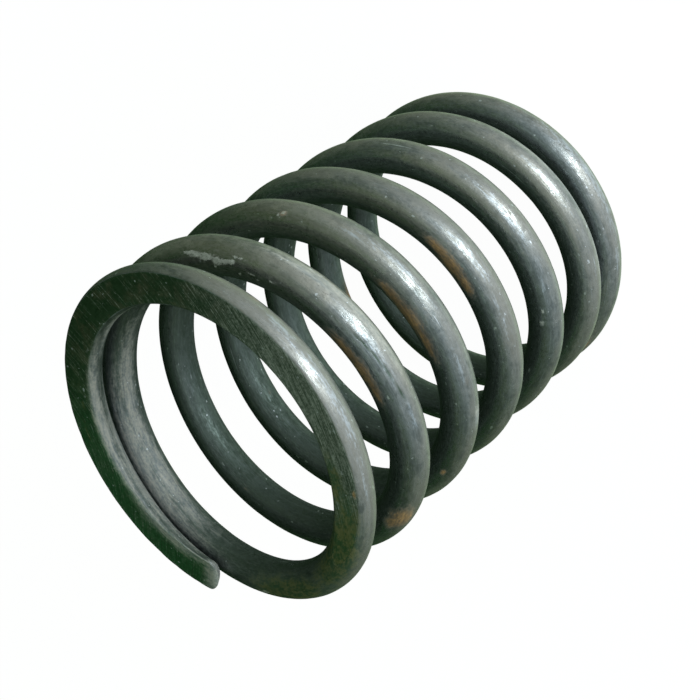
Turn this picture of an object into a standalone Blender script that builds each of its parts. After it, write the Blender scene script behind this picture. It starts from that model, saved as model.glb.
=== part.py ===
"""Helical compression spring with closed and ground ends, standing on its lower seat.

The spring is one length of round steel wire. It is modelled as the lengths that move
apart from each other when it is squeezed: the coil that lies still on the lower seat,
a quarter turn of wire for each step up the working coils, and the coil that moves with
the upper seat. Z runs up the spring's axis from the lower ground face. Places along
the wire are counted in turns from the +X side, which the lower tip is trimmed back from.
"""

import math

import bmesh
import bpy
from mathutils import Vector

# Driving dimensions, in metres.
WIRE_DIAMETER = 0.012
MEAN_DIAMETER = 0.104
WORKING_PITCH = 0.0279
TIP_CHAMFER = 0.001
WIRE_SPLIT_GAP = 0.0003

# Driving dimensions, in turns of wire.
TOTAL_TURNS = 7
RESTING_TURNS = 1.25
PIECE_TURNS = 0.25
LOWER_TIP_TRIM = 0.018

# A closed end lies along the coil that passes its tip, levels off along its seat, and then
# leaves for the working pitch, with each change of slope eased over some turns. In metres,
# it has the thickness that grinding leaves at the tip, and the gap from there to that coil.
LOWER_END = {"levels_at": 0.11, "levels_over": 0.13, "leaves_at": 0.84, "leaves_over": 0.15,
             "tip_thickness": 0.0045, "tip_gap": 0.0013}
UPPER_END = {"levels_at": 0.16, "levels_over": 0.15, "leaves_at": 0.757, "leaves_over": 0.09,
             "tip_thickness": 0.0041, "tip_gap": 0.0009}

# Fineness of the solids.
RING_POINTS = 20
STEPS_PER_TURN = 40

WIRE_RADIUS = WIRE_DIAMETER / 2
COIL_RADIUS = MEAN_DIAMETER / 2
WIRE_PER_TURN = math.tau * COIL_RADIUS
QUARTER_NAMES = ("first", "second", "third", "fourth")

# Finish of the wire: dark drawn steel, duller on the coils that rub on their seats.
STEEL_COLOUR = (0.075, 0.080, 0.085, 1.0)
STEEL_METALLIC = 0.85
WORKING_ROUGHNESS = 0.38
SEAT_ROUGHNESS = 0.48


def clear_scene():
    for scene_object in list(bpy.data.objects):
        bpy.data.objects.remove(scene_object, do_unlink=True)


def eased_ramp(turns, corner, over):
    """Nothing before the corner and one for one after it, with the corner eased."""
    eased = min(max((turns - corner) / over + 0.5, 0.0), 1.0)
    return over * (eased**3 - eased**4 / 2) + max(turns - corner - over / 2, 0.0)


def closed_share(end, turns_from_tip):
    """Share of the pitch lost in a closed end that lies within these turns of its tip."""
    level = eased_ramp(turns_from_tip, end["levels_at"], end["levels_over"])
    level -= eased_ramp(turns_from_tip, end["leaves_at"], end["leaves_over"])
    return level / (end["leaves_at"] - end["levels_at"])


def lost_rise(end):
    """Rise that a closed end gives up, so that its next coil just clears the tip."""
    return WORKING_PITCH - WIRE_DIAMETER - end["tip_gap"]


def wire_height(turn):
    """Height of the wire's centre above the lower ground face."""
    rise = WORKING_PITCH * turn
    rise -= lost_rise(LOWER_END) * closed_share(LOWER_END, turn)
    rise -= lost_rise(UPPER_END) * (1.0 - closed_share(UPPER_END, TOTAL_TURNS - turn))
    return LOWER_END["tip_thickness"] - WIRE_RADIUS + rise


FREE_LENGTH = wire_height(TOTAL_TURNS) - WIRE_RADIUS + UPPER_END["tip_thickness"]


def wire_ring(mesh, turn, start, radius):
    """One round section of the wire, seen from the place where its length starts."""
    angle = math.tau * (turn - start)
    height = wire_height(turn) - wire_height(start)
    ring = []
    for index in range(RING_POINTS):
        around = math.tau * index / RING_POINTS
        out = COIL_RADIUS + radius * math.cos(around)
        up = height + radius * math.sin(around)
        ring.append(mesh.verts.new((out * math.cos(angle), out * math.sin(angle), up)))
    return ring


def wire_stations(start, end):
    """Places and radii of the sections: a chamfer at a tip, half the gap at a split."""
    chamfer = TIP_CHAMFER / WIRE_PER_TURN
    half_gap = WIRE_SPLIT_GAP / 2 / WIRE_PER_TURN
    steps = round((end - start) * STEPS_PER_TURN)
    stations = [(start + step / STEPS_PER_TURN, WIRE_RADIUS) for step in range(1, steps)]
    if start == 0:
        tip = [(LOWER_TIP_TRIM, WIRE_RADIUS - TIP_CHAMFER), (LOWER_TIP_TRIM + chamfer, WIRE_RADIUS)]
        stations = tip + stations
    else:
        stations.insert(0, (start + half_gap, WIRE_RADIUS))
    if end == TOTAL_TURNS:
        stations += [(end - chamfer, WIRE_RADIUS), (end, WIRE_RADIUS - TIP_CHAMFER)]
    else:
        stations.append((end - half_gap, WIRE_RADIUS))
    return stations


def grind(mesh, height, outward):
    """Grind off the wire past a flat plane across the axis and close the ground face."""
    everything = mesh.verts[:] + mesh.edges[:] + mesh.faces[:]
    cut = bmesh.ops.bisect_plane(mesh, geom=everything, dist=1e-7, plane_co=(0, 0, height),
                                 plane_no=(0, 0, outward), clear_outer=True)
    rim = [part for part in cut["geom_cut"] if isinstance(part, bmesh.types.BMEdge)]
    bmesh.ops.triangle_fill(mesh, edges=rim, use_beauty=True, normal=(0, 0, outward))


def wire_length(name, start, end, roughness, spring):
    """One length of the wire between two places, as an object on the spring's axis."""
    mesh = bmesh.new()
    rings = [wire_ring(mesh, turn, start, radius) for turn, radius in wire_stations(start, end)]
    for near, far in zip(rings, rings[1:]):
        for index in range(RING_POINTS):
            after = (index + 1) % RING_POINTS
            mesh.faces.new((near[index], far[index], far[after], near[after]))
    mesh.faces.new(rings[0])
    mesh.faces.new(reversed(rings[-1]))
    if start == 0:
        grind(mesh, -wire_height(start), -1)
    if end == TOTAL_TURNS:
        grind(mesh, FREE_LENGTH - wire_height(start), 1)
    bmesh.ops.recalc_face_normals(mesh, faces=mesh.faces[:])

    data = bpy.data.meshes.new(name)
    mesh.to_mesh(data)
    mesh.free()
    data.shade_smooth()
    data.set_sharp_from_angle(angle=math.radians(35))
    data.materials.append(drawn_steel(name, roughness))

    length = bpy.data.objects.new(name, data)
    bpy.context.scene.collection.objects.link(length)
    length.parent = spring
    length.location = Vector((0, 0, wire_height(start)))
    length.rotation_euler = (0, 0, math.tau * (start % 1))
    return length


def drawn_steel(name, roughness):
    steel = bpy.data.materials.new(name)
    steel.use_nodes = True
    surface = steel.node_tree.nodes["Principled BSDF"]
    surface.inputs["Base Color"].default_value = STEEL_COLOUR
    surface.inputs["Metallic"].default_value = STEEL_METALLIC
    surface.inputs["Roughness"].default_value = roughness
    return steel


def working_coils(spring):
    """The wire that twists as the spring is squeezed, a quarter turn at a time."""
    pieces = round((TOTAL_TURNS - 2 * RESTING_TURNS) / PIECE_TURNS)
    for piece in range(pieces):
        start = RESTING_TURNS + piece * PIECE_TURNS
        coil = int(start) + 1
        quarter = QUARTER_NAMES[int((start % 1) / PIECE_TURNS)]
        name = f"coil_{coil}_{quarter}_quarter"
        wire_length(name, start, start + PIECE_TURNS, WORKING_ROUGHNESS, spring)


def build():
    clear_scene()
    spring = bpy.data.objects.new("spring_axis", None)
    bpy.context.scene.collection.objects.link(spring)
    wire_length("lower_end_coil", 0, RESTING_TURNS, SEAT_ROUGHNESS, spring)
    working_coils(spring)
    wire_length("upper_end_coil", TOTAL_TURNS - RESTING_TURNS, TOTAL_TURNS, SEAT_ROUGHNESS, spring)


build()
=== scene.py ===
"""Looks of the coil spring: drawn steel wire, ground at both ends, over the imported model.

Places along the wire are counted in turns from the +X side, as in the design, and
places round it as an angle from its outward side towards its upper side. Every point
of the surface also has a place on the wire as if it were pulled straight, which the
steel's pattern follows: drawing lines run along the wire whatever way it bends.
"""

import itertools
import math

import bpy
import numpy as np
from mathutils import Matrix, Vector


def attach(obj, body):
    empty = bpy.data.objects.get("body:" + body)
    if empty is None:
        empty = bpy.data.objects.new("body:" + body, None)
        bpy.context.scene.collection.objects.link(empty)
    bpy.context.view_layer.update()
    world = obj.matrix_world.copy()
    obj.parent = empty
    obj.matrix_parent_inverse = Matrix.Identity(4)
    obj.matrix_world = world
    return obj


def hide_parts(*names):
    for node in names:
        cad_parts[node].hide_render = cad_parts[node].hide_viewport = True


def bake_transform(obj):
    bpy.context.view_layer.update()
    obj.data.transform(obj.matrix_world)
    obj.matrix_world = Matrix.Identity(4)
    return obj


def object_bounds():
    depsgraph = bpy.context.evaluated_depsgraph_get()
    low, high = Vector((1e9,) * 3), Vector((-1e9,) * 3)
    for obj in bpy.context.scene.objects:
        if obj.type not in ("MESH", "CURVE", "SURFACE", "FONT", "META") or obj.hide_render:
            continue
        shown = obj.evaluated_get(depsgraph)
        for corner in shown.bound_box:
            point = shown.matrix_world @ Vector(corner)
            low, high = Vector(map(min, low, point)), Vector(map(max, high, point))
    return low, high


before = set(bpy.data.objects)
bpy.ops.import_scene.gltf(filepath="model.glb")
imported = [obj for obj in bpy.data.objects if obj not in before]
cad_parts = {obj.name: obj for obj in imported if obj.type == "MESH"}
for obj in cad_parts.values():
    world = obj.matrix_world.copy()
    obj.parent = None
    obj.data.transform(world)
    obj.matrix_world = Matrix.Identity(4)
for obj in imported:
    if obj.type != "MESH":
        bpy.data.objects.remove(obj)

CAD_LOW, CAD_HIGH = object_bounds()

# ---- The wire and its coil, in metres and turns, as designed ----
WIRE_RADIUS = 0.006
COIL_RADIUS = CAD_HIGH.x - WIRE_RADIUS
FREE_LENGTH = CAD_HIGH.z
WORKING_PITCH = 0.0279
TOTAL_TURNS = 7
RESTING_TURNS = 1.25
LOWER_TIP = 0.018
LOWER_TIP_THICKNESS = 0.0045
LOWER_END = {"levels_at": 0.11, "levels_over": 0.13, "leaves_at": 0.84, "leaves_over": 0.15,
             "tip_gap": 0.0013}
UPPER_END = {"levels_at": 0.16, "levels_over": 0.15, "leaves_at": 0.757, "leaves_over": 0.09,
             "tip_gap": 0.0009}
WIRE_PER_TURN = math.tau * COIL_RADIUS
WORKING_TURNS = TOTAL_TURNS - 2 * RESTING_TURNS

# ---- Fineness of the visible mesh ----
RING_POINTS = 96
RINGS_PER_TURN = 760
PIECE_TURNS = 0.125
FLAT_SHARE = 0.36
TIP_RINGS = 9
CAP_SHARES = (0.9, 0.6, 0.2)
QUARTER_NAMES = ("first", "second", "third", "fourth")
# The points even out once the face's plane is this many wire radii away, over this many more.
FACE_HOLDS_TO = 0.985
EVENS_OUT_OVER = 0.25

# ---- Ground faces and tips ----
RIM_ROUNDING = 0.0005
WORN_RIM_ROUNDING = 0.0026
RIM_FADE = 0.0002
WORN_RIM_FADE = 0.0014
RIM_FADE_OUTSIDE = 0.4
TIP_ROUNDING = 0.0032
TIP_FACE_ROUNDING = 0.0020
TIP_FACE_DROP = 0.0012
NO_FACE = 1.0

# ---- Wear of the surface: shallow dents and scratches, with their sizes in metres ----
DENT_SEED = 41
DENT_COUNT = 1500
DENT_LENGTHS = (0.0003, 0.0015)
DENT_WIDTHS = (0.00025, 0.0008)
DENT_DEPTHS = (0.00002, 0.00010)
SCRATCH_COUNT = 260
SCRATCH_LENGTHS = (0.003, 0.014)
SCRATCH_WIDTH = 0.00035
SCRATCH_DEPTH = 0.00004
NICK_CYCLE = 20
NICKED_IN_CYCLE = 5
PATCH_REACH = 3.0

# ---- Unevenness of the surface: heights in metres, and the size and seed of each noise ----
WAVE_HEIGHT = 0.00005
WIDE_WAVES = (0.014, 5)
SMALL_WAVES = (0.005, 9)
SMALL_WAVE_SHARE = 0.5
DRAWN_HEIGHT = 0.000012
DRAWN_MARKS = (0.0011, 3)
DRAWN_SQUEEZE = (0.02, 1.0, 1.0)
PIT_DEPTH = 0.00007
PITS = (0.0011, 7)
PITS_ABOVE = 0.1
CRUST_HEIGHT = 0.00009
CRUST_LUMPS = (0.0009, 13)
FACE_RIPPLE_DEPTH = 0.00003
FACE_RIPPLES = (0.004, 21)
FACE_DENT_SHARE = 0.7
RIM_UNEVENNESS = 0.5
RIM_WAVES = (0.003, 17)
PLACE_PRIMES = (73856093, 19349663, 83492791)
SCRAMBLING_PRIME = 1274126177

# ---- Places that stand out: turn, angle round the wire in degrees, half length and
# half width in metres ----
RUST_PLACES = [
    (5.372, 100, 0.0090, 0.0026), (5.350, 98, 0.0090, 0.0030), (5.330, 94, 0.0060, 0.0022),
    (4.388, 97, 0.0080, 0.0024), (4.362, 101, 0.0100, 0.0034), (4.334, 95, 0.0080, 0.0024),
    (3.396, 89, 0.0070, 0.0022), (3.375, 95, 0.0090, 0.0032), (3.354, 92, 0.0060, 0.0024),
    (5.182, 50, 0.0062, 0.0048), (5.174, 62, 0.0044, 0.0034), (4.178, 66, 0.0018, 0.0012),
    (6.272, 55, 0.0015, 0.0010), (1.85, 200, 0.0120, 0.0024), (2.75, 300, 0.0100, 0.0022),
    (3.90, 350, 0.0060, 0.0020), (0.62, 330, 0.0110, 0.0024), (5.80, 20, 0.0070, 0.0018),
    (0.15, 40, 0.0080, 0.0020), (4.513, 47, 0.0014, 0.0010), (2.60, 110, 0.0090, 0.0016),
]
CRUST_PLACES = [
    (5.546, 62, 0.0036, 0.0009), (5.528, 73, 0.0042, 0.0015), (5.516, 80, 0.0032, 0.0017),
    (5.538, 68, 0.0036, 0.0011), (5.509, 78, 0.0018, 0.0009),
    (5.502, 73, 0.0014, 0.0012), (5.497, 57, 0.0026, 0.0005), (5.519, 98, 0.0006, 0.0006),
    (5.493, 103, 0.0008, 0.0007), (5.480, 90, 0.0018, 0.0004), (5.474, 99, 0.0008, 0.0006),
    (4.513, 45, 0.0013, 0.0008), (4.518, 55, 0.0010, 0.0007), (5.460, 84, 0.0014, 0.0004),
    (2.268, 74, 0.0014, 0.0014), (2.281, 68, 0.0009, 0.0007), (0.71, 20, 0.0034, 0.0014),
    (3.82, 15, 0.0026, 0.0012), (2.90, 330, 0.0034, 0.0016), (6.05, 70, 0.0030, 0.0010),
]
SCUFF_PLACES = [
    (6.80, 165, 0.0500, 0.0034), (6.93, 150, 0.0260, 0.0046), (6.997, 180, 0.0046, 0.0400),
    (6.62, 185, 0.0300, 0.0024), (5.78, 160, 0.0400, 0.0034), (5.88, 175, 0.0300, 0.0036),
    (5.86, 125, 0.0400, 0.0036), (6.86, 215, 0.0400, 0.0034), (6.955, 235, 0.0120, 0.0030),
    (5.40, 350, 0.0240, 0.0018), (5.44, 5, 0.0140, 0.0012),
    (0.90, 190, 0.0200, 0.0020), (2.10, 0, 0.0200, 0.0016), (3.05, 10, 0.0180, 0.0018),
    (4.75, 355, 0.0220, 0.0018), (5.02, 5, 0.0160, 0.0016), (1.70, 350, 0.0200, 0.0016),
    (1.38, 335, 0.0300, 0.0022), (1.30, 336, 0.0160, 0.0020), (4.247, 350, 0.0045, 0.0022),
    (2.62, 5, 0.0160, 0.0014), (3.70, 0, 0.0200, 0.0018), (0.036, 180, 0.0046, 0.0400),
]
# Painted highlights: pale bright steel laid along the turns where the key light's highlights fall,
# to make them longer and brighter.
PAINTED_HIGHLIGHT_PLACES = [
    (5.360, 30, 0.0180, 0.0018), (4.400, 15, 0.0200, 0.0018), (3.375, 25, 0.0190, 0.0024),
    (2.385, 35, 0.0220, 0.0024), (1.390, 32, 0.0200, 0.0018), (1.285, 14, 0.0060, 0.0010),
    (0.370, 2, 0.0480, 0.0036), (0.275, 16, 0.0080, 0.0012), (6.360, 6, 0.0280, 0.0022),
    (6.285, 15, 0.0120, 0.0010), (5.300, 22, 0.0100, 0.0014), (4.300, 30, 0.0100, 0.0014),
    (3.310, 35, 0.0110, 0.0012), (2.310, 46, 0.0080, 0.0012), (4.440, 30, 0.0120, 0.0012),
    (2.640, 10, 0.0200, 0.0018), (3.840, 340, 0.0240, 0.0018), (0.780, 0, 0.0260, 0.0016),
    (6.418, 356, 0.0110, 0.0018),
]
BROWN_PLACES = [
    (5.455, 32, 0.0220, 0.0030), (4.445, 30, 0.0220, 0.0026),
    (5.52, 60, 0.0500, 0.0075), (4.49, 60, 0.0500, 0.0070), (3.46, 75, 0.0300, 0.0040),
    (5.40, 350, 0.0300, 0.0030), (1.40, 50, 0.0400, 0.0040), (2.44, 60, 0.0300, 0.0030),
    (2.90, 60, 0.0400, 0.0060), (0.95, 40, 0.0300, 0.0050),
]
FILM_PLACES = [
    (6.20, 90, 0.0280, 0.0080), (6.09, 80, 0.0240, 0.0075), (6.28, 120, 0.0120, 0.0040),
    (0.80, 280, 0.0300, 0.0070),
]
SCORED_PLACES = [(6.36, 90, 0.0360, 0.0200), (0.64, 270, 0.0360, 0.0200)]
GREEN_PLACES = [
    (6.89, 90, 0.0500, 0.0200), (6.255, 88, 0.0070, 0.0030), (6.225, 60, 0.0060, 0.0020),
    (0.12, 270, 0.0500, 0.0200),
]
WORN_RIM_PLACES = [(6.86, 140, 0.0420, 0.0060), (0.14, 220, 0.0420, 0.0060)]
MARKED_PLACES = {
    "rust": RUST_PLACES, "crust": CRUST_PLACES, "scuff": SCUFF_PLACES, "film": FILM_PLACES,
    "scored": SCORED_PLACES, "green": GREEN_PLACES, "brown": BROWN_PLACES,
    "highlight_area": PAINTED_HIGHLIGHT_PLACES,
}

# ---- One dark groove: turn and angle at its two ends ----
GROOVE_FROM = (5.376, math.radians(45))
GROOVE_TO = (5.318, math.radians(24))
GROOVE_WIDTH = 0.00028
GROOVE_DEPTH = 0.00016
GROOVE_FADE = 0.0015

# ---- Camera, seen from the upper end ----
CAMERA_PLACE = Vector((-0.2245, 0.2108, 0.3762))
CAMERA_AIM = Vector((0.0103, -0.0047, 0.0813))
CAMERA_ROLL = math.radians(-127.6)
CAMERA_LENS = 64.7


# ---- Shape of the wire ----

def smoothstep(value):
    value = np.clip(value, 0.0, 1.0)
    return value * value * (3.0 - 2.0 * value)


def eased_ramp(turns, corner, over):
    """Nothing before the corner and one for one after it, with the corner eased."""
    eased = np.clip((turns - corner) / over + 0.5, 0.0, 1.0)
    return over * (eased**3 - eased**4 / 2) + np.maximum(turns - corner - over / 2, 0.0)


def closed_share(end, turns_from_tip):
    """Share of the pitch lost in a closed end that lies within these turns of its tip."""
    level = eased_ramp(turns_from_tip, end["levels_at"], end["levels_over"])
    level = level - eased_ramp(turns_from_tip, end["leaves_at"], end["leaves_over"])
    return level / (end["leaves_at"] - end["levels_at"])


def lost_rise(end):
    return WORKING_PITCH - 2 * WIRE_RADIUS - end["tip_gap"]


def wire_height(turn):
    """Height of the wire's centre above the lower ground face."""
    rise = WORKING_PITCH * turn
    rise = rise - lost_rise(LOWER_END) * closed_share(LOWER_END, turn)
    rise = rise - lost_rise(UPPER_END) * (1.0 - closed_share(UPPER_END, TOTAL_TURNS - turn))
    return LOWER_TIP_THICKNESS - WIRE_RADIUS + rise


def smooth_min(first, second, reach):
    overlap = np.clip(reach - np.abs(first - second), 0.0, None) / reach
    return np.minimum(first, second) - overlap * overlap * reach / 4.0


def lattice_noise(places, size, seed):
    """Smooth random values from -1 to 1 that change over about this size."""
    scaled = places / size
    cell = np.floor(scaled).astype(np.int64)
    part = smoothstep(scaled - cell)
    total = np.zeros(places.shape[:-1])
    for corner in itertools.product((0, 1), repeat=3):
        key = (cell + corner + seed) * PLACE_PRIMES
        mixed = key[..., 0] ^ key[..., 1] ^ key[..., 2]
        mixed = ((mixed ^ (mixed >> 13)) * SCRAMBLING_PRIME) & 0x7FFFFFFF
        weight = np.prod(np.where(corner, part, 1.0 - part), axis=-1)
        total += weight * (((mixed >> 8) & 0xFFFF) / 0x8000 - 1.0)
    return total


def sections(turns, radii, face):
    """Sections of the wire: outward and upward places of their points.

    face is 1 where the ground face is above the wire, -1 where it is below, and 0 for
    wire with none. A fixed share of the points spans the face, so that its rim always
    runs along the mesh; past the face the points ease back to an even spread.
    """
    level = face_level(turns, face)
    half_angle = np.arccos(np.clip(level / radii, -1.0, 1.0))
    past_face = smoothstep((level / radii - FACE_HOLDS_TO) / EVENS_OUT_OVER)
    half_angle = np.maximum(half_angle, math.pi * FLAT_SHARE * past_face)[:, None]

    flat_points = int(RING_POINTS * FLAT_SHARE)
    round_points = RING_POINTS - flat_points
    radius = radii[:, None]
    across = np.linspace(-1.0, 1.0, flat_points)[None, :]
    flat_out = across * radius * np.sin(half_angle)
    flat_up = np.sqrt(np.clip(radius**2 - flat_out**2, 0.0, None))
    steps = (np.arange(round_points) + 1.0)[None, :] / (round_points + 1.0)
    angle = half_angle + steps * (math.tau - 2.0 * half_angle)
    out = np.concatenate([flat_out, radius * np.sin(angle)], axis=1)
    up = np.concatenate([flat_up, radius * np.cos(angle)], axis=1)
    return out, (face or 1) * up


def face_level(turns, face):
    """Distance from the wire's centre to the plane of the ground face beside it."""
    if face > 0:
        return FREE_LENGTH - wire_height(turns)
    if face < 0:
        return wire_height(turns)
    return np.full_like(turns, NO_FACE)


def worn_places():
    """Random dents and scratches: turn, angle, half length, half width and depth."""
    random = np.random.default_rng(DENT_SEED)
    dents = np.stack([
        random.uniform(0.0, TOTAL_TURNS, DENT_COUNT),
        random.uniform(0.0, math.tau, DENT_COUNT),
        random.uniform(*DENT_LENGTHS, DENT_COUNT),
        random.uniform(*DENT_WIDTHS, DENT_COUNT),
        random.uniform(*DENT_DEPTHS, DENT_COUNT)], axis=1)
    scratches = np.stack([
        random.uniform(0.0, TOTAL_TURNS, SCRATCH_COUNT),
        random.uniform(0.0, math.tau, SCRATCH_COUNT),
        random.uniform(*SCRATCH_LENGTHS, SCRATCH_COUNT),
        np.full(SCRATCH_COUNT, SCRATCH_WIDTH),
        np.full(SCRATCH_COUNT, SCRATCH_DEPTH)], axis=1)
    return np.concatenate([dents, scratches])


WORN_PLACES = worn_places()


def patch(turns, around, place):
    """How much each point belongs to a place on the wire, 1 at its middle."""
    turn, angle, half_length, half_width = place[:4]
    along = (turns - turn) * WIRE_PER_TURN / half_length
    across = (np.mod(around - angle + math.pi, math.tau) - math.pi) * WIRE_RADIUS / half_width
    return np.exp(-along**2 - across**2)


def rows_near(turns, turn, half_length):
    """The run of sections that a place on the wire reaches, or None."""
    reach = PATCH_REACH * half_length / WIRE_PER_TURN
    near = np.nonzero(np.abs(turns[:, 0] - turn) < reach)[0]
    return slice(near[0], near[-1] + 1) if len(near) else None


def patches(turns, around, places):
    """The strongest of several places at each point."""
    covered = np.zeros_like(around)
    for turn, degrees, half_length, half_width in places:
        rows = rows_near(turns, turn, half_length)
        if rows is None:
            continue
        place = (turn, math.radians(degrees), half_length, half_width)
        here = patch(turns[rows], around[rows], place)
        covered[rows] = np.maximum(covered[rows], here)
    return covered


def wear(turns, around):
    """Depth of the dents and scratches, and how far the metal shows bright in them."""
    depth = np.zeros_like(around)
    bright = np.zeros_like(around)
    for number, place in enumerate(WORN_PLACES):
        rows = rows_near(turns, place[0], place[2])
        if rows is None:
            continue
        here = patch(turns[rows], around[rows], place)
        depth[rows] += place[4] * here
        if number % NICK_CYCLE < NICKED_IN_CYCLE:
            bright[rows] = np.maximum(bright[rows], here)
    return depth, bright


def groove(turn, around):
    """How much each point belongs to the groove, 1 along its bottom."""
    start = np.array(GROOVE_FROM) * (WIRE_PER_TURN, WIRE_RADIUS)
    end = np.array(GROOVE_TO) * (WIRE_PER_TURN, WIRE_RADIUS)
    length = np.linalg.norm(end - start)
    along = (end - start) / length
    run = turn * WIRE_PER_TURN - start[0]
    side = around * WIRE_RADIUS - start[1]
    travelled = run * along[0] + side * along[1]
    past_end = np.maximum(np.abs(travelled - length / 2) - length / 2, 0.0)
    aside = run * along[1] - side * along[0]
    return np.exp(-(aside / GROOVE_WIDTH)**2 - (past_end / GROOVE_FADE)**2)


def on_coil(turn, out, height):
    """Places in space of points this far outward of the wire's centre, at these heights."""
    angle = math.tau * turn
    reach = COIL_RADIUS + out
    return np.stack([reach * np.cos(angle), reach * np.sin(angle), height], axis=-1)


def pulled_straight(turn, out, up):
    """Places of the same points on the wire as if it were pulled straight."""
    run = np.broadcast_to(turn * WIRE_PER_TURN, up.shape)
    return np.stack([run, out, up], axis=-1)


def skin_height(straight, depth, crust, rust):
    """Height of the skin from the plain round wire: waves and dents dip, a crust rises."""
    waves = lattice_noise(straight, *WIDE_WAVES)
    waves = waves + SMALL_WAVE_SHARE * lattice_noise(straight, *SMALL_WAVES)
    drawn = lattice_noise(straight * DRAWN_SQUEEZE, *DRAWN_MARKS)
    pitted = np.clip(lattice_noise(straight, *PITS) - PITS_ABOVE, 0.0, None)
    height = WAVE_HEIGHT * (waves - (1.0 + SMALL_WAVE_SHARE)) + DRAWN_HEIGHT * drawn - depth
    height += CRUST_HEIGHT * crust * (1.0 + lattice_noise(straight, *CRUST_LUMPS))
    height -= PIT_DEPTH * rust * pitted
    return height


def ground_down(turns, around, out, up, straight, depth, face):
    """Upward places of the points once the end is ground, and how far each is on its face."""
    turn = turns[:, None]
    level = face_level(turns, face)[:, None]
    worn = patches(turn, around, WORN_RIM_PLACES)
    fade = RIM_FADE + WORN_RIM_FADE * worn
    ground = smoothstep((face * up - level) / fade + RIM_FADE_OUTSIDE)
    ripples = lattice_noise(on_coil(turn, out, np.zeros_like(out)), *FACE_RIPPLES)
    level = level - FACE_RIPPLE_DEPTH * (1.0 + ripples) - FACE_DENT_SHARE * depth
    level = level - tip_drop(turns)[:, None]
    rim = RIM_ROUNDING * (1.0 + RIM_UNEVENNESS * lattice_noise(straight, *RIM_WAVES))
    rim = rim + WORN_RIM_ROUNDING * worn
    return face * smooth_min(face * up, level, rim), ground


def surface(turns, radii, face):
    """Points of the wire's surface for each section, with what its pattern needs."""
    out, up = sections(turns, radii, face)
    around = np.arctan2(up, out)
    turn = turns[:, None]
    straight = pulled_straight(turn, out, up)

    pattern = {key: patches(turn, around, places) for key, places in MARKED_PLACES.items()}
    pattern["cut"] = groove(turn, around)
    depth, pattern["bright"] = wear(turn, around)
    depth = depth + GROOVE_DEPTH * pattern["cut"]
    height = skin_height(straight, depth, pattern["crust"], pattern["rust"])
    out = out + height * np.cos(around)
    up = up + height * np.sin(around)

    pattern["ground"] = np.zeros_like(up)
    if face:
        up, pattern["ground"] = ground_down(turns, around, out, up, straight, depth, face)
    pattern["straight"] = pulled_straight(turn, out, up)
    return on_coil(turn, out, wire_height(turn) + up), pattern


# ---- Pieces ----

def tip_distance(turns):
    """Length of wire from each place to the nearer tip."""
    return np.minimum(turns - LOWER_TIP, TOTAL_TURNS - turns) * WIRE_PER_TURN


def tip_radii(turns):
    """Radius of the wire at each place: full, and rounded off towards its two tips."""
    distance = tip_distance(turns)
    inside = np.clip(1.0 - distance / TIP_ROUNDING, 0.0, 1.0)
    return WIRE_RADIUS - TIP_ROUNDING * (1.0 - np.sqrt(1.0 - inside**2))


def tip_drop(turns):
    """How far the ground face falls away over its tips, worn round."""
    distance = tip_distance(turns)
    inside = np.clip(1.0 - distance / TIP_FACE_ROUNDING, 0.0, 1.0)
    return TIP_FACE_DROP * (1.0 - np.sqrt(1.0 - inside**2))


def stations(start, end):
    """Places of the sections along a length of wire, closer together round a tip, with
    one more beyond each cut to smooth the surface across it."""
    step = 1.0 / RINGS_PER_TURN
    count = round((end - start) * RINGS_PER_TURN)
    turns = np.linspace(start - step, end + step, count + 3)
    tip_turns = TIP_ROUNDING / WIRE_PER_TURN
    curve = tip_turns * (1.0 - np.cos(np.linspace(0.0, math.pi / 2, TIP_RINGS)))
    if start == LOWER_TIP:
        curve_up = LOWER_TIP + curve
        turns = np.concatenate([curve_up, turns[turns > curve_up[-1] + step / 2]])
    if end == TOTAL_TURNS:
        curve = (TOTAL_TURNS - curve)[::-1]
        turns = np.concatenate([turns[turns < curve[0] - step / 2], curve])
    return turns


def grid_normals(places):
    """Directions out of a surface whose rows run along the wire and close round it."""
    along = np.gradient(places, axis=0)
    around = np.roll(places, -1, axis=1) - np.roll(places, 1, axis=1)
    across = np.cross(around, along)
    return across / np.linalg.norm(across, axis=-1, keepdims=True)


def grid_faces(rings, around, turned):
    """Corners and sizes of the faces that close a grid of points: quads between its rings,
    and a fan of triangles about the middle of each end. turned swaps which side is out."""
    index = np.arange(rings * around).reshape(rings, around)
    after = np.roll(index, -1, axis=1)
    middle = np.full(around, rings * around)
    quads = np.stack([index[:-1], index[1:], after[1:], after[:-1]], axis=-1).reshape(-1, 4)
    near_cap = np.stack([after[0], index[0], middle], axis=-1)
    far_cap = np.stack([index[-1], after[-1], middle + 1], axis=-1)
    if turned:
        quads = quads[:, ::-1]
        near_cap = near_cap[:, ::-1]
        far_cap = far_cap[:, ::-1]
    corners = np.concatenate([quads.ravel(), near_cap.ravel(), far_cap.ravel()])
    sizes = np.concatenate([np.full(len(quads), 4), np.full(2 * around, 3)])
    return corners, sizes


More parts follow.
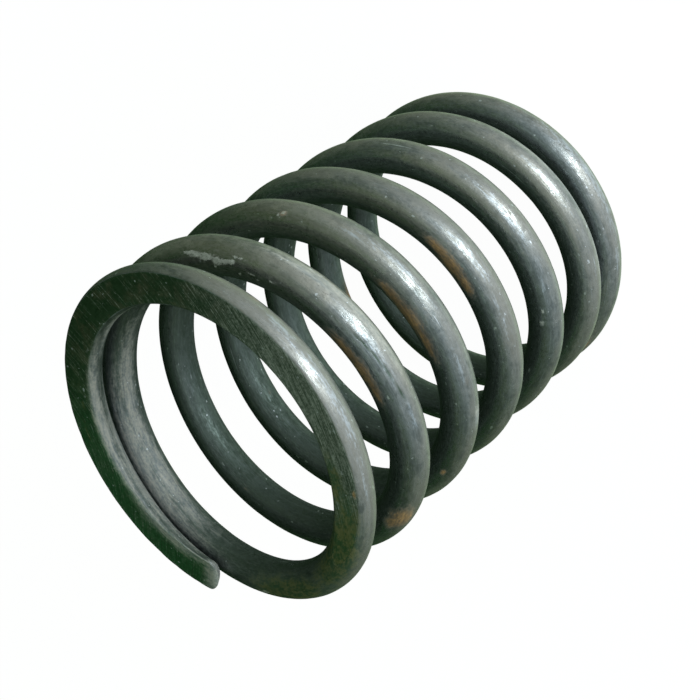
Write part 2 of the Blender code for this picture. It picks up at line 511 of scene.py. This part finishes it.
def wire_mesh(name, start, end, face):
    """One length of wire as a closed mesh. face is as for its sections."""
    turns = stations(start, end)
    places, pattern = surface(turns, tip_radii(turns), face)
    if start == LOWER_TIP:
        places = np.concatenate([closing_rings(places[0])[::-1], places])
        pattern = {key: repeat_row(values, 0) for key, values in pattern.items()}
    if end == TOTAL_TURNS:
        places = np.concatenate([places, closing_rings(places[-1])])
        pattern = {key: repeat_row(values, -1) for key, values in pattern.items()}
    turned = face >= 0
    normals = grid_normals(places) * (1 if turned else -1)
    kept = slice(0 if start == LOWER_TIP else 1, len(places) if end == TOTAL_TURNS else -1)
    places = places[kept]
    points = with_caps(places)
    corners, sizes = grid_faces(*places.shape[:2], turned)

    mesh = bpy.data.meshes.new(name)
    mesh.vertices.add(len(points))
    mesh.vertices.foreach_set("co", points.astype(np.float32).ravel())
    mesh.loops.add(len(corners))
    mesh.loops.foreach_set("vertex_index", corners.astype(np.int32))
    mesh.polygons.add(len(sizes))
    mesh.polygons.foreach_set("loop_start", (np.cumsum(sizes) - sizes).astype(np.int32))
    mesh.update(calc_edges=True)
    mesh.shade_smooth()
    for key, values in pattern.items():
        is_vector = values.ndim == 3
        layer = mesh.attributes.new(key, "FLOAT_VECTOR" if is_vector else "FLOAT", "POINT")
        values = with_caps(values[kept] if is_vector else values[kept][..., None])
        layer.data.foreach_set("vector" if is_vector else "value", values.astype(np.float32).ravel())
    normals = with_caps(normals[kept])
    normals[-2:] = end_directions(places)
    mesh.normals_split_custom_set_from_vertices(normals)
    return mesh


def closing_rings(ring):
    """Smaller copies of the last ring, which close a tip with an end face of its own."""
    middle = ring.mean(axis=0)
    return np.stack([middle + (ring - middle) * share for share in CAP_SHARES])


def repeat_row(values, row):
    """A pattern with its first or last row repeated for the closing rings."""
    more = np.repeat(values[row][None], len(CAP_SHARES), axis=0)
    return np.concatenate([more, values] if row == 0 else [values, more])


def with_caps(values):
    """The values of a grid's points in a list, and those of the middles of its two ends."""
    width = values.shape[-1]
    middles = np.stack([values[0].mean(axis=0), values[-1].mean(axis=0)])
    return np.concatenate([values.reshape(-1, width), middles])


def end_directions(places):
    """Directions along the wire, out of the two ends of a length of it."""
    middles = places.mean(axis=1)
    back = TIP_RINGS + len(CAP_SHARES)
    ends = np.stack([middles[0] - middles[back], middles[-1] - middles[-1 - back]])
    return ends / np.linalg.norm(ends, axis=1, keepdims=True)


def add_piece(name, start, end, face, material):
    piece = bpy.data.objects.new(name, wire_mesh(name, start, end, face))
    bpy.context.scene.collection.objects.link(piece)
    piece.data.materials.append(material)
    return piece


def bend_with_spring(piece):
    """Bakes the piece's placing into its mesh."""
    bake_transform(piece)


def make_wire(material):
    lower = add_piece("wire_lower_end", LOWER_TIP, RESTING_TURNS, -1, material)
    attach(lower, "lower_end")
    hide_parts("lower_end_coil")
    upper = add_piece("wire_upper_end", TOTAL_TURNS - RESTING_TURNS, TOTAL_TURNS, 1, material)
    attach(upper, "upper_end")
    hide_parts("upper_end_coil")
    count = round(WORKING_TURNS / PIECE_TURNS)
    for number in range(count):
        start = RESTING_TURNS + number * PIECE_TURNS
        coil = int(start) + 1
        quarter = QUARTER_NAMES[int((start % 1) * 4)]
        node = f"coil_{coil}_{quarter}_quarter"
        part = "ab"[number % 2]
        piece = add_piece(f"wire_{node}_{part}", start, start + PIECE_TURNS, 0, material)
        bend_with_spring(piece)
        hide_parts(node)


# ---- Node trees ----

class Nodes:
    """Short ways to add nodes to a tree and to link them up."""

    def __init__(self, tree):
        self.tree = tree

    def node(self, kind, **settings):
        node = self.tree.nodes.new(kind)
        for key, value in settings.items():
            setattr(node, key, value)
        return node

    def feed(self, socket, value):
        if isinstance(value, bpy.types.NodeSocket):
            self.tree.links.new(value, socket)
        else:
            socket.default_value = value

    def fed_node(self, kind, values, **settings):
        """A node with its sockets, given by name or by number, fed with values."""
        node = self.node(kind, **settings)
        for socket, value in values.items():
            self.feed(node.inputs[socket], value)
        return node

    def attribute(self, name, output="Fac"):
        return self.node("ShaderNodeAttribute", attribute_name=name).outputs[output]

    def maths(self, operation, *values):
        node = self.fed_node("ShaderNodeMath", dict(enumerate(values)), operation=operation)
        return node.outputs[0]

    def vector_maths(self, operation, *values, output="Vector"):
        values = dict(enumerate(values))
        node = self.fed_node("ShaderNodeVectorMath", values, operation=operation)
        return node.outputs[output]

    def noise(self, vector, sizes, detail=2.0, roughness=0.5, distortion=0.0, output="Fac"):
        """Noise that spans the size given for each direction."""
        node = self.fed_node("ShaderNodeTexNoise", {
            "Vector": self.vector_maths("DIVIDE", vector, sizes), "Scale": 1.0,
            "Detail": detail, "Roughness": roughness, "Distortion": distortion})
        return node.outputs[output]

    def band(self, value, low, high, from_value=0.0, to_value=1.0):
        """Eased step from one value to another between low and high."""
        values = dict(enumerate((value, low, high, from_value, to_value)))
        node = self.fed_node("ShaderNodeMapRange", values, interpolation_type="SMOOTHSTEP")
        return node.outputs[0]

    def blend(self, share, first, second, kind="RGBA"):
        values = {"Factor": share, "A": first, "B": second}
        return self.fed_node("ShaderNodeMix", values, data_type=kind).outputs["Result"]

    def swept(self, vector, centre):
        """Places on a flat face as the length along and the distance to wide arcs."""
        flattened = self.vector_maths("MULTIPLY", vector, (1.0, 1.0, 0.0))
        across = self.vector_maths("DISTANCE", flattened, centre, output="Value")
        sideways = Vector((-centre[1], centre[0], 0.0)).normalized()
        along = self.vector_maths("DOT_PRODUCT", vector, sideways, output="Value")
        return self.fed_node("ShaderNodeCombineXYZ", {0: along, 1: across}).outputs[0]

    def shaken(self, vector, size, amount):
        """Places shifted at random, so that marks laid out on them have ragged edges."""
        shift = self.noise(vector, (size, size, size), output="Color")
        return self.vector_maths("MULTIPLY_ADD", shift, (amount, amount, amount), vector)

    def flecks(self, vector, sizes, share, reach):
        """Small marks of random width, inside this share of the scattered cells."""
        cells = self.fed_node("ShaderNodeTexVoronoi", {
            "Vector": self.vector_maths("DIVIDE", vector, sizes), "Scale": 1.0})
        random = self.fed_node("ShaderNodeSeparateColor", {0: cells.outputs["Color"]})
        width = self.maths("ADD", random.outputs[1], LEAST_FLECK)
        edge = self.maths("MULTIPLY", width, reach)
        inside = self.maths("LESS_THAN", cells.outputs["Distance"], edge)
        chosen = self.maths("LESS_THAN", random.outputs[0], share)
        return self.maths("MULTIPLY", inside, chosen)


class Material(Nodes):
    """A new material's nodes."""

    def __init__(self, name):
        self.material = bpy.data.materials.new(name)
        self.material.use_nodes = True
        super().__init__(self.material.node_tree)

    def with_surface(self, settings):
        """The material, with its surface shader's sockets fed."""
        for name, value in settings.items():
            self.feed(self.tree.nodes["Principled BSDF"].inputs[name], value)
        return self.material


# ---- Steel: its colours, and those of what lies on it, linear ----
STEEL_DARK = (0.112, 0.126, 0.119, 1.0)
STEEL_MIDDLE = (0.170, 0.188, 0.183, 1.0)
STEEL_LIGHT = (0.330, 0.355, 0.365, 1.0)
STEEL_PALE = (0.485, 0.540, 0.575, 1.0)
STEEL_BRIGHT = (0.600, 0.620, 0.620, 1.0)
STEEL_SCUFFED = (0.410, 0.385, 0.320, 1.0)
PATINA = (0.245, 0.218, 0.170, 1.0)
TAN_SPECKLE = (0.380, 0.355, 0.300, 1.0)
BROWN_SKIN = (0.310, 0.285, 0.222, 1.0)
# Dark olive: oxide in pits and in the ground faces' grooves. It is also painted shade, with a
# painted green reflection, on the wire's inner side.
OLIVE_OXIDE_AND_SHADE = (0.024, 0.050, 0.020, 1.0)
GROUND_DARK = (0.026, 0.062, 0.024, 1.0)
GROUND_BROWN = (0.084, 0.088, 0.044, 1.0)
GROUND_GREEN = (0.030, 0.130, 0.044, 1.0)
GROUND_PALE = (0.200, 0.222, 0.185, 1.0)
GROUND_SCRATCH = (0.380, 0.400, 0.340, 1.0)
FILM_GREEN = (0.020, 0.058, 0.012, 1.0)
FILM_BROWN = (0.110, 0.112, 0.034, 1.0)
RUST_DARK = (0.125, 0.074, 0.028, 1.0)
RUST_OCHRE = (0.400, 0.222, 0.072, 1.0)
CRUST_COLOUR = (0.270, 0.280, 0.225, 1.0)

# ---- Steel: its patterns ----
# What the mesh says of each place, by the names of its attributes.
MESH_PATTERNS = ("ground", "rust", "crust", "scuff", "bright", "film", "cut", "scored",
                 "green", "brown", "highlight_area")

# Noise: its size in metres, then its detail, roughness and distortion. On the wire the
# sizes are along it, outward and upward. On the ground faces they are along and across the
# wheel's arcs, or along the axes, and the last is so large that height hardly matters.
WIRE_NOISE = {
    "lines": ((0.045, 0.0009, 0.0009), 3.0, 0.6, 0.3),
    "fine_lines": ((0.018, 0.00028, 0.00028), 2.0, 0.5, 0.0),
    "streaks": ((0.0085, 0.0011, 0.0011), 4.0, 0.65, 0.6),
    "mottle": ((0.0040, 0.0027, 0.0027), 5.0, 0.66, 0.4),
    "cloud": ((0.034, 0.011, 0.011), 3.0, 0.55, 0.0),
    "grain": ((0.0011, 0.0007, 0.0007), 3.0, 0.62, 0.0),
    "dashes": ((0.0040, 0.00055, 0.00055), 3.0, 0.62, 0.3),
    "dots": ((0.0019, 0.0005, 0.0005), 2.5, 0.6, 0.2),
    "blotches": ((0.012, 0.0045, 0.0045), 4.0, 0.6, 0.0),
}
GRINDING_CENTRE = (0.0375, -0.0915, 0.0)
GRINDING_NOISE = ((0.011, 0.00042, 1.0), 4.0, 0.7, 0.0)
FACE_NOISE = {
    "face_cloud": ((0.0075, 0.0075, 1.0), 5.0, 0.65, 0.5),
    "face_grain": ((0.0009, 0.0009, 1.0), 3.0, 0.65, 0.0),
}

# Marks: each is a mix of patterns, with how much of each, and it comes up between two
# values of that mix. Where the first value is the higher one, it comes up as the mix falls.
SKIN_MIX = {"streaks": 0.22, "mottle": 0.78}
MARKS = {
    "pale_skin": (SKIN_MIX, 0.38, 0.56),
    "light_line": ({"lines": 0.5, "streaks": 0.5}, 0.50, 0.66),
    "thin_line": ({"fine_lines": 1.0}, 0.60, 0.70),
    "dark_line": ({"fine_lines": 1.0}, 0.42, 0.34),
    "dark_dash": ({"dashes": 1.0}, 0.46, 0.34),
    "worn_dash": ({"dashes": 1.0, "cloud": 0.3}, 0.68, 0.84),
    "polished": ({"dots": 1.0}, 0.55, 0.66),
    "light_grain": ({"grain": 1.0}, 0.56, 0.70),
    "light_cloud": ({"cloud": 1.0}, 0.40, 0.62),
    "pocked": ({"grain": 1.0}, 0.40, 0.28),
    "tanned": ({"outward": 1.0, "cloud": 1.3, "mottle": 0.7}, 1.45, 2.10),
    "browned": ({"brown": 1.0, "mottle": 0.6, "grain": 0.5}, 0.75, 1.55),
    # Painted shade: the wire's inner side darker and greener, broken by cloud and mottle noise.
    "painted_inner_shade": ({"cloud": 1.2, "outward": -1.0, "mottle": 0.6}, 0.9, 1.9),
    "face_brown": ({"face_cloud": 1.0}, 0.44, 0.66),
    "face_green": ({"green": 1.0, "face_cloud": 0.8, "face_grain": 0.5}, 0.80, 1.50),
    "face_pale": ({"scored": 1.0, "face_cloud": 0.8, "face_grain": 0.4}, 0.55, 1.45),
    "face_groove": ({"grinding": 1.0}, 0.50, 0.36),
    "face_pocked": ({"face_grain": 1.0}, 0.48, 0.34),
    "face_scratch": ({"grinding": 1.0, "face_pale": 0.11}, 0.56, 0.66),
    "on_face": ({"ground": 1.0}, 0.35, 0.65),
    "rim_outside": ({"ground": 1.0}, 0.02, 0.35),
    "rim_inside": ({"ground": 1.0}, 0.98, 0.55),
    "scuffed": ({"scuff": 1.0, "streaks": 0.5, "mottle": 0.6, "grain": 0.5}, 0.95, 1.75),
    "pale_scuff": ({"grain": 0.45, "streaks": 0.55}, 0.34, 0.66),
    # Painted highlight: pale streaks over the highlight places, broken up by dashes, mottle and
    # grain.
    "painted_highlight": ({"highlight_area": 1.0, "dashes": 1.6, "mottle": 0.6, "grain": 0.9}, 2.20, 2.75),
    "nicked": ({"bright": 1.0, "mottle": 0.5}, 0.95, 1.12),
    "filmed": ({"film": 1.0, "mottle": 0.5}, 0.55, 1.10),
    "brown_film": ({"mottle": 0.6, "grain": 0.4}, 0.42, 0.58),
    "rust_spot": ({"mottle": 0.80, "grain": 0.35, "rust": 1.0}, 0.75, 1.55),
    "rust_haze": ({"blotches": 1.0}, 0.66, 0.78),
    "ochre": ({"streaks": 0.4, "grain": 0.3, "cloud": 0.3}, 0.40, 0.62),
    "crusty": ({"crust": 1.0, "grain": 1.2, "mottle": 0.8}, 1.46, 1.86),
}

# Wear that breaks up two of the marks: two values of a pattern, and how much of the mark
# is left at each.
RIM_WEAR = (0.42, 0.62, 0.1, 0.6)
SCRATCH_WEAR = (0.40, 0.62, 0.20, 1.00)

# Flecks: the size of their cells in metres, the share of cells that hold one, and their
# reach in a cell. The shake's size and amount are in metres.
LEAST_FLECK = 0.3
FLECK_SHAKE = (0.0006, 0.0012)
FLECKS = ((0.0040, 0.0019, 0.0019), 0.045, 0.17)
PINPRICKS = ((0.0015, 0.0010, 0.0010), 0.045, 0.24)
FACE_FLECKS = ((0.0022, 0.0022, 1.0), 0.14, 0.13)

# Layers of colour from the bottom up: the mark's name, its strength and its colour.
SKIN_LAYERS = [
    ("light_line", 0.30, STEEL_LIGHT), ("thin_line", 0.16, STEEL_LIGHT),
    ("dark_line", 0.30, STEEL_DARK), ("dark_dash", 0.20, STEEL_DARK),
    ("worn_dash", 0.16, STEEL_PALE), ("polished", 0.10, STEEL_BRIGHT),
    ("speckled", 0.28, TAN_SPECKLE), ("pocked", 0.28, OLIVE_OXIDE_AND_SHADE),
    # The last layer below is painted shade and painted green reflection on the wire's inner side.
    ("tanned", 0.55, PATINA), ("browned", 0.50, BROWN_SKIN), ("painted_inner_shade", 0.60, OLIVE_OXIDE_AND_SHADE),
]
FACE_LAYERS = [
    ("face_green", 0.85, GROUND_GREEN), ("face_pale", 0.80, GROUND_PALE),
    ("face_groove", 0.70, OLIVE_OXIDE_AND_SHADE), ("face_pocked", 0.55, OLIVE_OXIDE_AND_SHADE),
    ("face_scored", 1.0, GROUND_SCRATCH), ("face_fleck", 0.6, STEEL_BRIGHT),
]
SCUFF_STRENGTH = 0.80
# The first layer is a painted highlight. The flecks and the dark groove are wear.
WORN_AND_HIGHLIGHT_LAYERS = [
    ("painted_highlight", 0.36, STEEL_PALE), ("flecked", 0.60, STEEL_BRIGHT), ("cut", 0.85, OLIVE_OXIDE_AND_SHADE),
]
FILM_STRENGTH = 0.88
RUST_HAZE_STRENGTH = 0.25
RUST_STRENGTH = 0.88
CRUST_STRENGTH = 0.85

# Gloss: how metallic the clean steel is, and the share of that left on two of the marks.
# Then two values of a pattern with the roughness at each, or with the change to it at each,
# and what every mark adds to it.
CLEAN_METALLIC = 0.90
TANNED_METALLIC_SHARE = 0.72
FACE_METALLIC_SHARE = 0.60
FILM_DULLNESS = 0.6
SCUFF_DULLNESS = 0.55
SKIN_ROUGHNESS = (0.36, 0.60, 0.44, 0.31)
DASH_ROUGHNESS = (0.36, 0.64, 0.07, -0.05)
GRAIN_ROUGHNESS = (0.35, 0.65, -0.05, 0.10)
# Roughness also rises on the painted inner shade and on the painted highlights.
ADDED_ROUGHNESS = {"polished": -0.10, "painted_inner_shade": 0.18, "painted_highlight": 0.05, "dull": 0.35,
                   "on_face": 0.08}

# Relief: heights in metres over the whole range of each pattern.
WIRE_RELIEF = {"lines": 0.000032, "fine_lines": 0.000010, "mottle": 0.000080,
               "grain": 0.000038, "dashes": 0.000022, "polished": 0.000006}
FACE_RELIEF = {"grinding": 0.000016, "face_grain": 0.000030}
CRUST_RELIEF = 0.00004


class Steel(Material):
    """The spring's steel, made from named patterns and from marks that are mixed of them."""

    def __init__(self, name):
        super().__init__(name)
        wire = self.attribute("straight", "Vector")
        place = self.node("ShaderNodeNewGeometry").outputs["Position"]
        outward = self.fed_node("ShaderNodeSeparateXYZ", {0: wire}).outputs[1]
        self.patterns = {key: self.attribute(key) for key in MESH_PATTERNS}
        self.patterns["outward"] = self.maths("DIVIDE", outward, WIRE_RADIUS)
        for key, settings in WIRE_NOISE.items():
            self.patterns[key] = self.noise(wire, *settings)
        for key, settings in FACE_NOISE.items():
            self.patterns[key] = self.noise(place, *settings)
        grinding = self.swept(place, GRINDING_CENTRE)
        self.patterns["grinding"] = self.noise(grinding, *GRINDING_NOISE)
        for key, (mix, low, high) in MARKS.items():
            self.patterns[key] = self.band(self.mixed(mix), low, high)
        self.add_joined_marks(wire, place)

    def scaled(self, value, factor):
        return value if factor == 1.0 else self.maths("MULTIPLY", value, factor)

    def mixed(self, mix, total=None):
        """The sum of a mix of patterns, on top of a total if there is one."""
        for key, share in mix.items():
            value = self.scaled(self.patterns[key], share)
            total = value if total is None else self.maths("ADD", total, value)
        return total

    def joined(self, operation, first, second):
        """One operation on two patterns."""
        return self.maths(operation, self.patterns[first], self.patterns[second])

    def add_joined_marks(self, wire, place):
        """Marks made of other marks: where both of two are, or either is."""
        patterns = self.patterns
        patterns["speckled"] = self.joined("MULTIPLY", "light_grain", "light_cloud")
        unworn = self.band(patterns["face_grain"], *SCRATCH_WEAR)
        patterns["face_scored"] = self.maths("MULTIPLY", patterns["face_scratch"], unworn)
        patterns["face_fleck"] = self.flecks(place, *FACE_FLECKS)
        # The rim mark is a lighter band where the ground face meets the round wire: a worn edge, and
        # partly a painted rim highlight.
        on_rim = self.joined("MULTIPLY", "rim_outside", "rim_inside")
        unworn = self.band(patterns["streaks"], *RIM_WEAR)
        patterns["rim"] = self.maths("MULTIPLY", on_rim, unworn)
        ragged = self.shaken(wire, *FLECK_SHAKE)
        patterns["fleck"] = self.flecks(ragged, *FLECKS)
        patterns["pinprick"] = self.flecks(ragged, *PINPRICKS)
        patterns["small_fleck"] = self.joined("MAXIMUM", "fleck", "pinprick")
        patterns["flecked"] = self.joined("MAXIMUM", "nicked", "small_fleck")
        haze = self.scaled(patterns["rust_haze"], RUST_HAZE_STRENGTH)
        patterns["rusty"] = self.maths("MAXIMUM", patterns["rust_spot"], haze)
        dull = self.joined("MAXIMUM", "rusty", "crusty")
        dull = self.maths("MAXIMUM", dull, self.scaled(patterns["filmed"], FILM_DULLNESS))
        dull = self.maths("MAXIMUM", dull, self.scaled(patterns["scuffed"], SCUFF_DULLNESS))
        patterns["dull"] = dull

    def laid(self, colour, mark, strength, tint):
        """A colour with a mark laid over it."""
        return self.blend(self.scaled(self.patterns[mark], strength), colour, tint)

    def colour(self):
        """The drawn skin with painted shade on its inner side, the ground faces with a rim partly
        painted as a highlight, then wear, painted highlights and stains over both.
        """
        colour = self.laid(STEEL_DARK, "pale_skin", 1.0, STEEL_MIDDLE)
        for layer in SKIN_LAYERS:
            colour = self.laid(colour, *layer)
        face = self.laid(GROUND_DARK, "face_brown", 1.0, GROUND_BROWN)
        for layer in FACE_LAYERS:
            face = self.laid(face, *layer)
        colour = self.laid(colour, "on_face", 1.0, face)
        # Lighter band along the rims of the ground faces: a worn edge, and partly a painted rim
        # highlight.
        colour = self.laid(colour, "rim", 1.0, STEEL_LIGHT)

        scuff = self.laid(STEEL_MIDDLE, "pale_scuff", 1.0, STEEL_SCUFFED)
        colour = self.laid(colour, "scuffed", SCUFF_STRENGTH, scuff)
        for layer in WORN_AND_HIGHLIGHT_LAYERS:
            colour = self.laid(colour, *layer)
        film = self.laid(FILM_GREEN, "brown_film", 1.0, FILM_BROWN)
        colour = self.laid(colour, "filmed", FILM_STRENGTH, film)
        rust = self.laid(RUST_DARK, "ochre", 1.0, RUST_OCHRE)
        colour = self.laid(colour, "rusty", RUST_STRENGTH, rust)
        return self.laid(colour, "crusty", CRUST_STRENGTH, CRUST_COLOUR)

    def lowered(self, value, mark, share):
        """A value of which only this share is left where a mark is."""
        left = self.band(self.patterns[mark], 0.0, 1.0, 1.0, share)
        return self.maths("MULTIPLY", value, left)

    def metallic(self):
        clean = self.maths("SUBTRACT", 1.0, self.patterns["dull"])
        metallic = self.scaled(clean, CLEAN_METALLIC)
        metallic = self.lowered(metallic, "tanned", TANNED_METALLIC_SHARE)
        return self.lowered(metallic, "on_face", FACE_METALLIC_SHARE)

    def roughness(self):
        skin = self.band(self.mixed(SKIN_MIX), *SKIN_ROUGHNESS)
        dashes = self.band(self.patterns["dashes"], *DASH_ROUGHNESS)
        grain = self.band(self.patterns["grain"], *GRAIN_ROUGHNESS)
        roughness = self.maths("ADD", self.maths("ADD", skin, dashes), grain)
        return self.mixed(ADDED_ROUGHNESS, roughness)

    def relief(self):
        """Directions of the surface with its finest relief, too small for the mesh."""
        wire, face = self.mixed(WIRE_RELIEF), self.mixed(FACE_RELIEF)
        height = self.blend(self.patterns["on_face"], wire, face, kind="FLOAT")
        height = self.mixed({"crusty": CRUST_RELIEF}, height)
        settings = {"Strength": 1.0, "Distance": 1.0, "Height": height}
        return self.fed_node("ShaderNodeBump", settings).outputs[0]


def spring_steel():
    steel = Steel("spring_steel_wire")
    return steel.with_surface({"Base Color": steel.colour(), "Metallic": steel.metallic(),
                               "Roughness": steel.roughness(), "Normal": steel.relief()})


# ---- Studio ----

LIGHT_FROM = Vector((-0.54, 0.83, -0.22)).normalized()
LIGHT_SQUASH = (1.0, 1.0, 0.66)
SKY_COLOURS = [(0.00, (0.002, 0.012, 0.002)), (0.18, (0.020, 0.085, 0.012)),
               (0.35, (0.128, 0.180, 0.085)), (0.54, (0.240, 0.330, 0.225)),
               (0.78, (0.66, 0.765, 0.795)), (1.00, (1.15, 1.31, 1.46))]
LIGHT_FROM_BELOW = ((-0.58, -0.94), (0.44, 0.60, 0.40, 1.0))
LIGHT_FROM_ABOVE = ((0.76, 1.00), (0.17, 0.23, 0.19, 1.0))
BACKDROP = (0.94, 0.94, 0.94, 1.0)
FLOOR_HALF = 6.0
FLOOR_DROP = 0.0002
FLOOR_LOOKS = {"Base Color": (0.06, 0.060, 0.060, 1.0), "Roughness": 0.9,
               "Emission Color": (1.0, 1.0, 1.0, 1.0), "Emission Strength": 0.965}
KEY_FROM = Vector((-0.70, 0.71, 0.07)).normalized()
KEY_DISTANCE = 1.0
KEY_WIDTH = 0.16
KEY_HEIGHT = 0.70
KEY_POWER = 8.0
KEY_COLOUR = (0.90, 1.0, 1.10)


def make_floor():
    """A pale floor that the camera sees. The soft light from below its edge, which
    stands for light bounced up from pale surroundings, passes through it."""
    mesh = bpy.data.meshes.new("floor")
    corners = [(-FLOOR_HALF, -FLOOR_HALF, 0.0), (FLOOR_HALF, -FLOOR_HALF, 0.0),
               (FLOOR_HALF, FLOOR_HALF, 0.0), (-FLOOR_HALF, FLOOR_HALF, 0.0)]
    mesh.from_pydata(corners, [], [(0, 1, 2, 3)])
    floor = bpy.data.objects.new("floor", mesh)
    floor.location.z = CAD_LOW.z - FLOOR_DROP
    bpy.context.scene.collection.objects.link(floor)
    mesh.materials.append(Material("floor_white").with_surface(FLOOR_LOOKS))
    floor.visible_glossy = False
    floor.visible_diffuse = False
    floor.visible_shadow = False


def side_light(nodes, direction):
    """Light that is strongest from one side and dark green from the other."""
    squashed = nodes.vector_maths("MULTIPLY", direction, LIGHT_SQUASH)
    level = nodes.vector_maths("NORMALIZE", squashed)
    towards = nodes.vector_maths("DOT_PRODUCT", level, LIGHT_FROM, output="Value")
    share = nodes.fed_node("ShaderNodeMapRange", {"From Min": -1.0, "Value": towards})
    sky = nodes.fed_node("ShaderNodeValToRGB", {"Fac": share.outputs["Result"]})
    ramp = sky.color_ramp
    ramp.interpolation = "EASE"
    while len(ramp.elements) < len(SKY_COLOURS):
        ramp.elements.new(1.0)
    for element, (position, colour) in zip(ramp.elements, SKY_COLOURS):
        element.position = position
        element.color = (*colour, 1.0)
    light = nodes.tree.nodes["Background"]
    nodes.feed(light.inputs["Color"], sky.outputs["Color"])
    nodes.feed(light.inputs["Strength"], 1.0)
    return light.outputs[0]


def make_world():
    """Soft light from one side with a little more from below and above, and a pale
    backdrop that only the camera sees."""
    world = bpy.data.worlds.new("studio")
    world.use_nodes = True
    nodes = Nodes(world.node_tree)
    direction = nodes.node("ShaderNodeTexCoord").outputs["Generated"]
    height = nodes.fed_node("ShaderNodeSeparateXYZ", {0: direction}).outputs["Z"]
    total = side_light(nodes, direction)
    for (nothing_at, full_at), colour in (LIGHT_FROM_BELOW, LIGHT_FROM_ABOVE):
        strength = nodes.band(height, nothing_at, full_at)
        extra = nodes.fed_node("ShaderNodeBackground", {"Color": colour, "Strength": strength})
        total = nodes.fed_node("ShaderNodeAddShader", {0: total, 1: extra.outputs[0]}).outputs[0]
    backdrop = nodes.fed_node("ShaderNodeBackground", {"Color": BACKDROP}).outputs[0]
    seen = nodes.node("ShaderNodeLightPath").outputs["Is Camera Ray"]
    choice = nodes.fed_node("ShaderNodeMixShader", {0: seen, 1: total, 2: backdrop})
    nodes.feed(nodes.tree.nodes["World Output"].inputs["Surface"], choice.outputs[0])
    bpy.context.scene.world = world


def make_key_light():
    light = bpy.data.lights.new("key", "AREA")
    light.shape = "RECTANGLE"
    light.size = KEY_WIDTH
    light.size_y = KEY_HEIGHT
    light.energy = KEY_POWER
    light.color = KEY_COLOUR
    lamp = bpy.data.objects.new("key", light)
    lamp.location = Vector((0.0, 0.0, FREE_LENGTH / 2)) + KEY_FROM * KEY_DISTANCE
    lamp.rotation_euler = KEY_FROM.to_track_quat("Z", "Y").to_euler()
    bpy.context.scene.collection.objects.link(lamp)


def make_camera():
    data = bpy.data.cameras.new("camera")
    data.lens = CAMERA_LENS
    camera = bpy.data.objects.new("camera", data)
    camera.location = CAMERA_PLACE
    look = (CAMERA_PLACE - CAMERA_AIM).to_track_quat("Z", "Y")
    roll = Matrix.Rotation(CAMERA_ROLL, 4, "Z")
    camera.rotation_euler = (look.to_matrix().to_4x4() @ roll).to_euler()
    bpy.context.scene.collection.objects.link(camera)
    bpy.context.scene.camera = camera


make_wire(spring_steel())
make_world()
make_floor()
make_key_light()
make_camera()
bpy.context.scene.view_settings.view_transform = "Standard"
